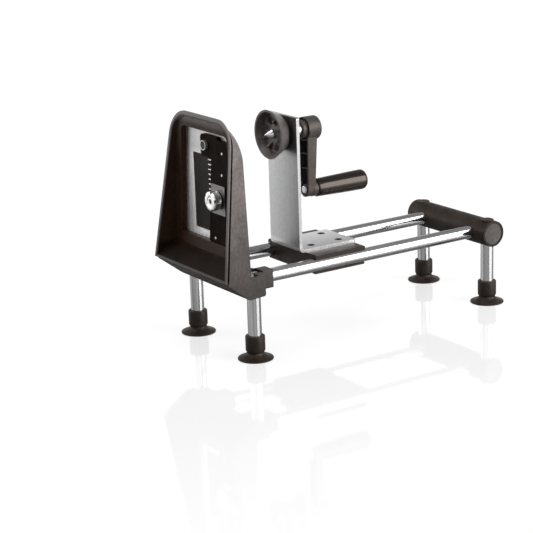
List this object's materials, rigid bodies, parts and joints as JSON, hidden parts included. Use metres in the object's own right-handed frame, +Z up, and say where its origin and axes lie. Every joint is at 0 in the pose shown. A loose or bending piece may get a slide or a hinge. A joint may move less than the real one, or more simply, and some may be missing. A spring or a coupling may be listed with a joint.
{
  "type": "vegetable spiralizer",
  "caption": "Hand-cranked vegetable spiralizer: a carriage slides on two rails and the crank turns the vegetable against the blades in the housing.",
  "frame": {"origin": "on the worktop, below the middle of the overall length and width", "axes": "+X along the rails from the blade housing to the rear crossbar, +Z up"},
  "size_m": [0.361, 0.1468, 0.2425],
  "materials": {
    "housing_plastic": "satin black moulding",
    "holder_plastic": "fine matt black moulding",
    "blade_steel": "stainless sheet, satin",
    "tube_steel": "polished stainless tube",
    "bracket_steel": "finely brushed stainless sheet",
    "fastener_steel": "stainless fasteners",
    "knob_nickel": "nickel plated",
    "foot_rubber": "black rubber",
    "block_plastic": "black moulding",
    "bar_plastic": "satin black bar",
    "cap_plastic": "satin grey-black disc",
    "wheel_plastic": "black moulding",
    "arm_plastic": "black moulding",
    "grip_plastic": "polished black"
  },
  "bodies": {
    "frame": {"blade_housing": "housing_plastic", "front_tray": "housing_plastic", "slicing_blade": "blade_steel", "comb_blade": "blade_steel", "comb_holder": "holder_plastic", "comb_rivets": "fastener_steel", "coring_tube": "blade_steel", "back_screws": "fastener_steel", "clamp_plate": "bracket_steel", "clamp_stud": "fastener_steel", "rail_near": "tube_steel", "rail_far": "tube_steel", "front_leg_near": "tube_steel", "front_leg_far": "tube_steel", "rear_leg_near": "tube_steel", "rear_leg_far": "tube_steel", "front_foot_near": "foot_rubber", "front_foot_far": "foot_rubber", "rear_foot_near": "foot_rubber", "rear_foot_far": "foot_rubber", "rail_pins": "fastener_steel", "rear_crossbar": "bar_plastic", "crossbar_end_caps": "cap_plastic", "leg_top_caps": "bar_plastic"},
    "knob_travel": {"knob_washer": "fastener_steel"},
    "knob": {"clamp_knob": "knob_nickel"},
    "carriage": {"slide_block": "block_plastic", "crank_bracket": "bracket_steel", "bracket_screws": "fastener_steel", "spindle_bush": "fastener_steel", "bush_nut": "fastener_steel"},
    "crank": {"spindle": "fastener_steel", "drive_wheel": "wheel_plastic", "drive_pin": "fastener_steel", "crank_arm": "arm_plastic", "hub_washer": "fastener_steel", "hub_screw": "fastener_steel", "handle_bolt": "fastener_steel", "handle_nut": "fastener_steel"},
    "handle": {"handle_grip": "grip_plastic", "grip_plug": "grip_plastic"}
  },
  "joints": [
    {"name": "carriage_slide", "type": "slide", "parent": "frame", "child": "carriage", "axis": [1, 0, 0], "range_m": [-0.0567, 0.1415]},
    {"name": "crank_spin", "type": "hinge", "parent": "carriage", "child": "crank", "pos_m": [-0.05, 0, 0.2118], "axis": [1, 0, 0], "continuous": true},
    {"name": "handle_spin", "type": "hinge", "parent": "crank", "child": "handle", "pos_m": [0.005, 0, 0.1476], "axis": [1, 0, 0], "continuous": true},
    {"name": "clamp_travel", "type": "slide", "parent": "frame", "child": "knob_travel", "axis": [-1, 0, 0], "range_m": [0, 0.0024]},
    {"name": "knob_turn", "type": "hinge", "parent": "knob_travel", "child": "knob", "pos_m": [-0.162, -0.0225, 0.16], "axis": [-1, 0, 0], "range_deg": [0, 1080]}
  ],
  "couplings": [
    {"joint": "knob_turn", "follows": "clamp_travel", "rad_per_m": 7854}
  ]
}
